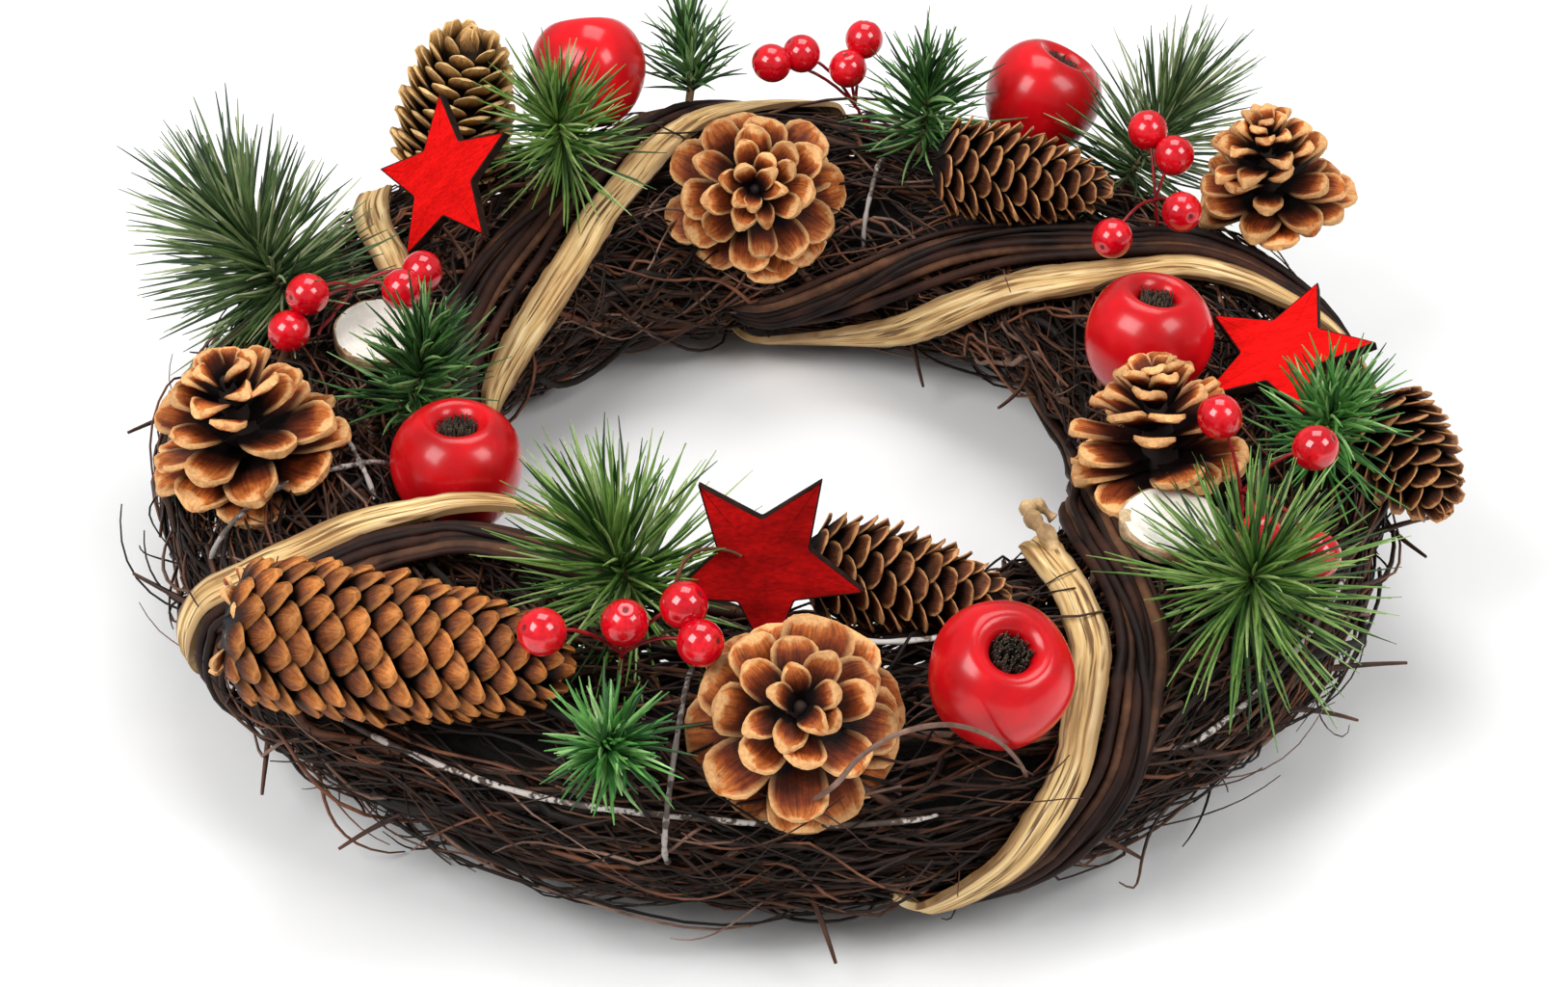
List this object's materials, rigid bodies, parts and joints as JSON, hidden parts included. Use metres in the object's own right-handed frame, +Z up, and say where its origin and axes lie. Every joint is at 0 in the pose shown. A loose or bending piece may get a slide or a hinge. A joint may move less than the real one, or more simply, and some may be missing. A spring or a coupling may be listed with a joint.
{
  "type": "christmas wreath",
  "caption": "Ring of tangled brushwood bound with vines and peeled cane, dressed with cones, apples, stars, berries, wood slices and needle sprays, lying flat.",
  "frame": {"origin": "the middle of the footprint, on the surface that the wreath lies on", "axes": "+Z up along the axis of the hole, -Y towards the viewer, +X to the viewer's right"},
  "size_m": [0.363, 0.3507, 0.115],
  "materials": {
    "dark_twig": "rough dark brown bark on thin brushwood",
    "vine_bark": "smooth dark willow bark with a dull sheen",
    "peeled_cane": "peeled tan strip with fine long grain",
    "hoop_bark": "grey-brown bark with pale peeled patches",
    "open_cone_scale": "matt orange-brown cone scales with pale margins",
    "long_cone_scale": "matt brown cone scales with tan edges",
    "star_red": "matt red stained board with dark scorched edges",
    "apple_red": "glossy deep red skin",
    "calyx_black": "dry black bristles",
    "berry_red": "glossy red berries on red wires",
    "needle_green": "green needles, grey-green to deep emerald",
    "slice_wood": "pale sawn wood with tan bark round the edge"
  },
  "bodies": {
    "root": {"twig_bundle_1": "dark_twig", "twig_bundle_2": "dark_twig", "twig_bundle_3": "dark_twig", "twig_bundle_4": "dark_twig", "twig_bundle_5": "dark_twig", "twig_bundle_6": "dark_twig", "twig_bundle_7": "dark_twig", "twig_bundle_8": "dark_twig", "vine_wrap_1": "vine_bark", "vine_wrap_2": "vine_bark", "vine_wrap_3": "vine_bark", "vine_wrap_4": "vine_bark", "cane_strip_1": "peeled_cane", "cane_strip_2": "peeled_cane", "cane_strip_3": "peeled_cane", "cane_strip_4": "peeled_cane", "cane_strip_5": "peeled_cane", "hoop_outer_1": "hoop_bark", "hoop_outer_2": "hoop_bark", "hoop_inner": "hoop_bark", "open_cone_1": "open_cone_scale", "open_cone_2": "open_cone_scale", "open_cone_3": "open_cone_scale", "open_cone_4": "open_cone_scale", "open_cone_5": "open_cone_scale", "long_cone_1": "long_cone_scale", "long_cone_2": "long_cone_scale", "long_cone_3": "long_cone_scale", "long_cone_4": "long_cone_scale", "long_cone_5": "long_cone_scale", "star_1": "star_red", "star_2": "star_red", "star_3": "star_red", "apple_1": "apple_red", "apple_2": "apple_red", "apple_3": "apple_red", "apple_4": "apple_red", "apple_5": "apple_red", "apple_calyx_1": "calyx_black", "apple_calyx_2": "calyx_black", "apple_calyx_3": "calyx_black", "apple_calyx_4": "calyx_black", "apple_calyx_5": "calyx_black", "berry_spray_1": "berry_red", "berry_spray_2": "berry_red", "berry_spray_3": "berry_red", "berry_spray_4": "berry_red", "berry_spray_5": "berry_red", "needle_spray_1": "needle_green", "needle_spray_2": "needle_green", "needle_spray_3": "needle_green", "needle_spray_4": "needle_green", "needle_spray_5": "needle_green", "needle_spray_6": "needle_green", "needle_spray_7": "needle_green", "needle_spray_8": "needle_green", "needle_spray_9": "needle_green", "needle_spray_10": "needle_green", "wood_slice_1": "slice_wood", "wood_slice_2": "slice_wood"}
  },
  "joints": []
}
